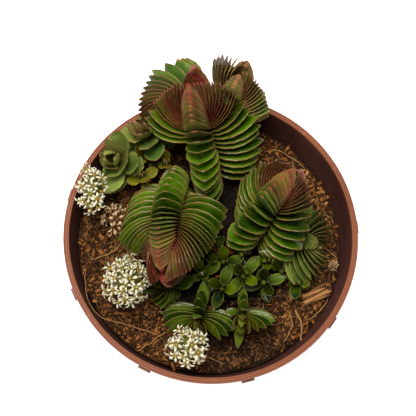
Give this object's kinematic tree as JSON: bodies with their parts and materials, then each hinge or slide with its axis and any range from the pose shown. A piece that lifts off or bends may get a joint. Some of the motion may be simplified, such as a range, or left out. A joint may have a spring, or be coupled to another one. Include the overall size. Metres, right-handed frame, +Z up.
{
  "type": "potted starburst crassula",
  "caption": "Cluster of leafy crassula stems with stacked pointed leaves and small white flower heads, growing in coir in a round tapered nursery pot.",
  "frame": {"origin": "centre of the pot's underside, on the surface it stands on", "axes": "+Z up along the pot's axis, -Y towards the side that the flower head at the front leans to"},
  "size_m": [0.1207, 0.1345, 0.1276],
  "materials": {
    "pot_plastic": "satin",
    "coir_soil": "rough",
    "leaf": "waxy",
    "dull_leaf": "dull waxy",
    "young_leaf": "waxy",
    "petals": "soft",
    "dried_bloom": "dry"
  },
  "bodies": {
    "root": {"bloom_front": "petals", "bloom_left": "petals", "bloom_round": "petals", "head_back": "leaf", "head_flowering": "leaf", "head_front": "leaf", "head_grey": "dull_leaf", "head_left": "leaf", "head_low": "leaf", "head_right": "leaf", "head_side": "dull_leaf", "head_small": "leaf", "head_tall": "leaf", "head_under": "leaf", "pot": "pot_plastic", "shoot_a": "young_leaf", "shoot_b": "young_leaf", "shoot_c": "young_leaf", "shoot_d": "young_leaf", "shoot_e": "young_leaf", "shoot_f": "young_leaf", "shoot_g": "young_leaf", "shoot_h": "young_leaf", "shoot_i": "young_leaf", "shoot_j": "young_leaf", "shoot_k": "young_leaf", "shoot_l": "young_leaf", "shoot_m": "young_leaf", "soil": "coir_soil", "spent_bloom_left": "dried_bloom", "spent_bloom_right": "dried_bloom"}
  },
  "joints": []
}
